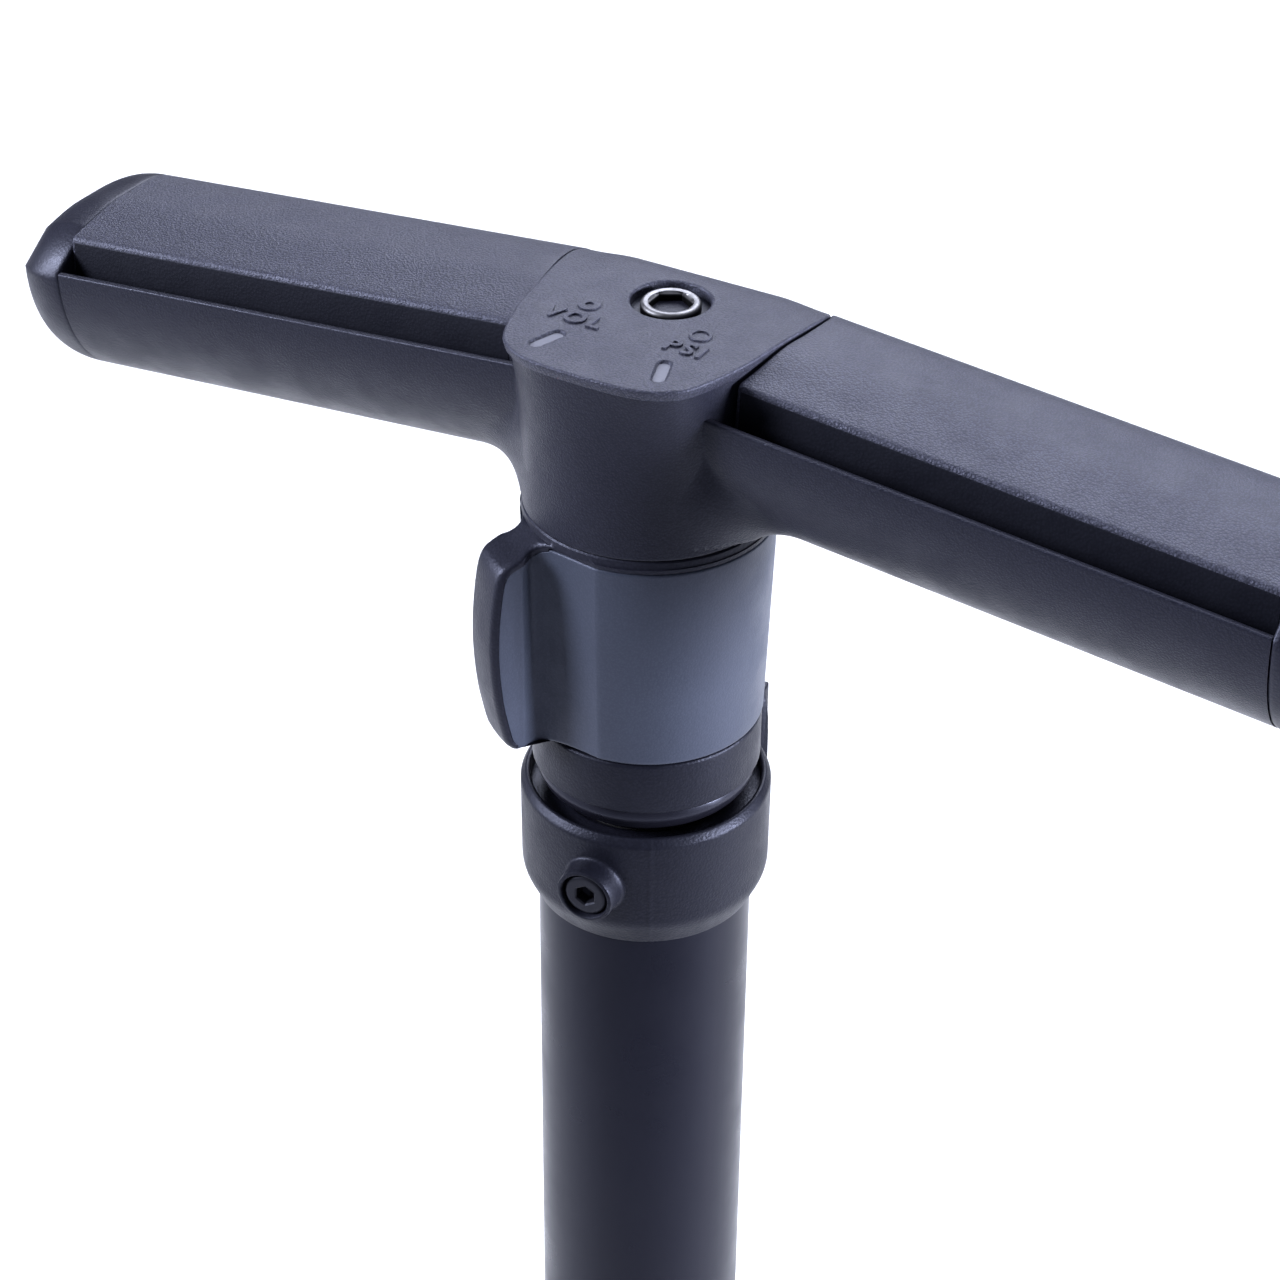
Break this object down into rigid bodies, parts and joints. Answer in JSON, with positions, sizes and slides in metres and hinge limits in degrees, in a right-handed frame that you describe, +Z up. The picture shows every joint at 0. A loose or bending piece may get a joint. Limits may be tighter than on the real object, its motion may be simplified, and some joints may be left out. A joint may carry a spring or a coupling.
{
  "type": "floor bike pump",
  "caption": "Upright floor pump with a T handle, a volume or pressure selector, a clamp collar, a long barrel and a foot base with a dial gauge.",
  "frame": {"origin": "the floor under the pump's axis, at the centre of the middle sole", "axes": "+Z up along the barrel, +X along the handle to the right, -Y to the front, where the gauge and the selector marks are"},
  "size_m": [0.25, 0.1889, 0.658],
  "materials": {
    "barrel_paint": "satin black anodised tube",
    "base_plastic": "fine textured black moulding",
    "black_plastic": "finely grained satin black",
    "grip_plastic": "leather-grained charcoal",
    "slate_plastic": "finely grained slate blue",
    "seal_rubber": "matte",
    "gloss_rubber": "gloss",
    "black_steel": "black oxide",
    "bright_steel": "machined",
    "alloy": "satin",
    "brass": "machined",
    "mark_paint": "light grey inlay",
    "dial_face": "matte white",
    "needle_paint": "satin red",
    "clear_lens": "clear"
  },
  "bodies": {
    "base": {"base_frame": "base_plastic", "foot_tread_right": "seal_rubber", "foot_tread_left": "seal_rubber", "sole_centre": "seal_rubber", "sole_left": "seal_rubber", "sole_right": "seal_rubber", "sole_front": "seal_rubber", "sole_rear": "seal_rubber", "barrel_tube": "barrel_paint", "barrel_cap": "black_plastic", "rod_bushing": "brass", "rod_wiper": "seal_rubber", "clamp_collar": "black_plastic", "clamp_bolt": "black_steel", "hose_clip": "black_plastic", "plunger_tube": "alloy", "plunger_head": "brass", "plunger_seal": "seal_rubber", "valve_body": "brass", "check_spring": "bright_steel", "barrel_seal": "seal_rubber", "hose_outlet": "brass", "outlet_nut": "bright_steel", "gauge_housing": "black_plastic", "gauge_stem": "brass", "bourdon_tube": "brass", "gauge_dial": "dial_face", "gauge_lens": "clear_lens", "gauge_bezel": "black_plastic"},
    "lift_seal": {"piston_seal": "seal_rubber"},
    "handle": {"handle_body": "black_plastic", "volume_mark": "mark_paint", "pressure_mark": "mark_paint", "hub_cover": "grip_plastic", "right_grip_pad": "grip_plastic", "left_grip_pad": "grip_plastic", "right_end_cap": "black_plastic", "left_end_cap": "black_plastic", "rod_head": "alloy", "bolt_washer": "bright_steel", "handle_bolt": "bright_steel", "piston_rod": "bright_steel", "piston_body": "alloy", "retaining_ring": "black_plastic", "bumper_ring": "gloss_rubber"},
    "selector": {"selector_core": "black_plastic", "selector_cover": "slate_plastic", "selector_pin": "bright_steel", "inner_tube": "alloy"},
    "needle": {"gauge_needle": "needle_paint", "needle_cap": "black_plastic"},
    "ball": {"check_ball": "bright_steel"}
  },
  "joints": [
    {"name": "handle_lift", "type": "slide", "parent": "base", "child": "lift_seal", "axis": [0, 0, 1], "range_m": [0, 0.45]},
    {"name": "handle_turn", "type": "hinge", "parent": "lift_seal", "child": "handle", "pos_m": [0, 0, 0.071], "axis": [0, 0, 1], "continuous": true},
    {"name": "selector_turn", "type": "hinge", "parent": "handle", "child": "selector", "pos_m": [0, 0, 0.603], "axis": [0, 0, 1], "range_deg": [0, 68]},
    {"name": "needle_turn", "type": "hinge", "parent": "base", "child": "needle", "pos_m": [0, -0.065, 0.0395], "axis": [0, 0.5736, -0.8192], "range_deg": [0, 270], "stiffness_Nm_per_rad": 0.0005},
    {"name": "valve_lift", "type": "slide", "parent": "base", "child": "ball", "axis": [0, 0, -1], "range_m": [0, 0.0015], "stiffness_N_per_m": 100, "springref_m": -0.001, "deforming": ["check_spring"]}
  ]
}
